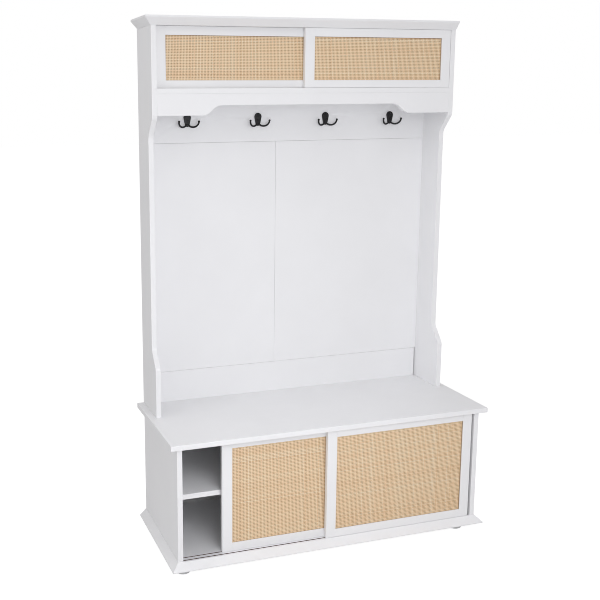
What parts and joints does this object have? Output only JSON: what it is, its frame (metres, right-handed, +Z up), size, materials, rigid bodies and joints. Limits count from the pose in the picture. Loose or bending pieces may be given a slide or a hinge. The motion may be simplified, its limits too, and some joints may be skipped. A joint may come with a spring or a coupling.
{
  "type": "hall tree",
  "caption": "White hall tree: storage bench with sliding cane doors, shaped sides and panelled back with coat hooks, and a shallow upper cabinet with sliding cane doors under a cornice.",
  "frame": {"origin": "floor level at the middle of the bounding box; the wall plane is at y = +0.233 m", "axes": "+Z up, +X to the right of a person facing the object, -Y out of the front"},
  "size_m": [1.2, 0.466, 1.845],
  "materials": {
    "white_lacquer": "smooth white satin lacquer on board",
    "white_hardboard": "white coated thin board",
    "cane": "natural woven cane",
    "backing_board": "brown board behind the cane",
    "black_iron": "satin black cast metal",
    "black_screw": "black screw",
    "white_plastic": "white plastic",
    "pin_steel": "plated steel pin"
  },
  "bodies": {
    "carcass": {"apron": "white_lacquer", "back_panel_left": "white_lacquer", "back_panel_right": "white_lacquer", "bench_back_panel": "white_hardboard", "bench_divider": "white_lacquer", "bench_floor": "white_lacquer", "bench_side_left": "white_lacquer", "bench_side_right": "white_lacquer", "coat_hook_1": "black_iron", "coat_hook_2": "black_iron", "coat_hook_3": "black_iron", "coat_hook_4": "black_iron", "crown_front": "white_lacquer", "crown_left": "white_lacquer", "floor_glides": "white_plastic", "hook_rail": "white_lacquer", "hook_screws": "black_screw", "hutch_side_left": "white_lacquer", "hutch_side_right": "white_lacquer", "lower_rail": "white_lacquer", "plinth_front": "white_lacquer", "plinth_left": "white_lacquer", "plinth_right": "white_lacquer", "seam_batten": "white_lacquer", "seat_top": "white_lacquer", "shelf_left": "white_lacquer", "shelf_pins": "pin_steel", "shelf_right": "white_lacquer", "upper_back_panel": "white_hardboard", "upper_floor": "white_lacquer", "upper_roof": "white_lacquer"},
    "bench_left_door": {"bench_left_door_backer": "backing_board", "bench_left_door_bottom_rail": "white_lacquer", "bench_left_door_cane": "cane", "bench_left_door_guides": "white_plastic", "bench_left_door_left_stile": "white_lacquer", "bench_left_door_right_stile": "white_lacquer", "bench_left_door_top_rail": "white_lacquer"},
    "bench_right_door": {"bench_right_door_backer": "backing_board", "bench_right_door_bottom_rail": "white_lacquer", "bench_right_door_cane": "cane", "bench_right_door_guides": "white_plastic", "bench_right_door_left_stile": "white_lacquer", "bench_right_door_right_stile": "white_lacquer", "bench_right_door_top_rail": "white_lacquer"},
    "upper_left_door": {"upper_left_door_backer": "backing_board", "upper_left_door_bottom_rail": "white_lacquer", "upper_left_door_cane": "cane", "upper_left_door_guides": "white_plastic", "upper_left_door_left_stile": "white_lacquer", "upper_left_door_right_stile": "white_lacquer", "upper_left_door_top_rail": "white_lacquer"},
    "upper_right_door": {"upper_right_door_backer": "backing_board", "upper_right_door_bottom_rail": "white_lacquer", "upper_right_door_cane": "cane", "upper_right_door_guides": "white_plastic", "upper_right_door_left_stile": "white_lacquer", "upper_right_door_right_stile": "white_lacquer", "upper_right_door_top_rail": "white_lacquer"}
  },
  "joints": [
    {"name": "bench_left_door_slide", "type": "slide", "parent": "carcass", "child": "bench_left_door", "axis": [1, 0, 0], "range_m": [-0.145, 0.39]},
    {"name": "bench_right_door_slide", "type": "slide", "parent": "carcass", "child": "bench_right_door", "axis": [1, 0, 0], "range_m": [-0.527, 0.008]},
    {"name": "upper_left_door_slide", "type": "slide", "parent": "carcass", "child": "upper_left_door", "axis": [1, 0, 0], "range_m": [0, 0.535]},
    {"name": "upper_right_door_slide", "type": "slide", "parent": "carcass", "child": "upper_right_door", "axis": [1, 0, 0], "range_m": [-0.535, 0]}
  ]
}
